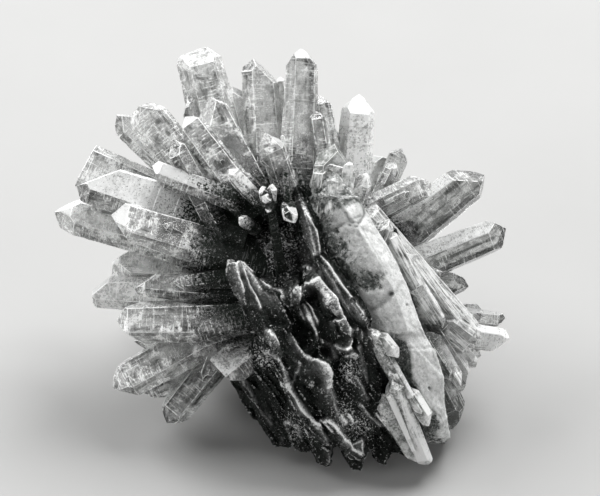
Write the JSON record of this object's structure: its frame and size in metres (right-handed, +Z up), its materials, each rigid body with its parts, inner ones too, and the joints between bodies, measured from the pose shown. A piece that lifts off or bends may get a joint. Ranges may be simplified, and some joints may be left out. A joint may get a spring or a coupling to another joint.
{
  "type": "quartz cluster",
  "caption": "Natural cluster of clear six-sided quartz crystals that radiate from a dark, chlorite-filled heart with a milky trunk, on a flat break.",
  "frame": {"origin": "middle of the flat break that the cluster rests on", "axes": "+Z up from the break, -Y to the side that leans back and shows the radiating crystals, +X to that side's right"},
  "size_m": [0.1011, 0.0767, 0.0742],
  "materials": {
    "clear_quartz": "clear to slightly milky, glossy crystal faces with fine cross striations",
    "chlorite_quartz": "glossy quartz filled with dark green-black chlorite, with paler frosted crests",
    "milky_quartz": "milky white, satin, with fine cracks and dark specks"
  },
  "bodies": {
    "root": {"quartz_cluster": "clear_quartz"}
  },
  "joints": []
}
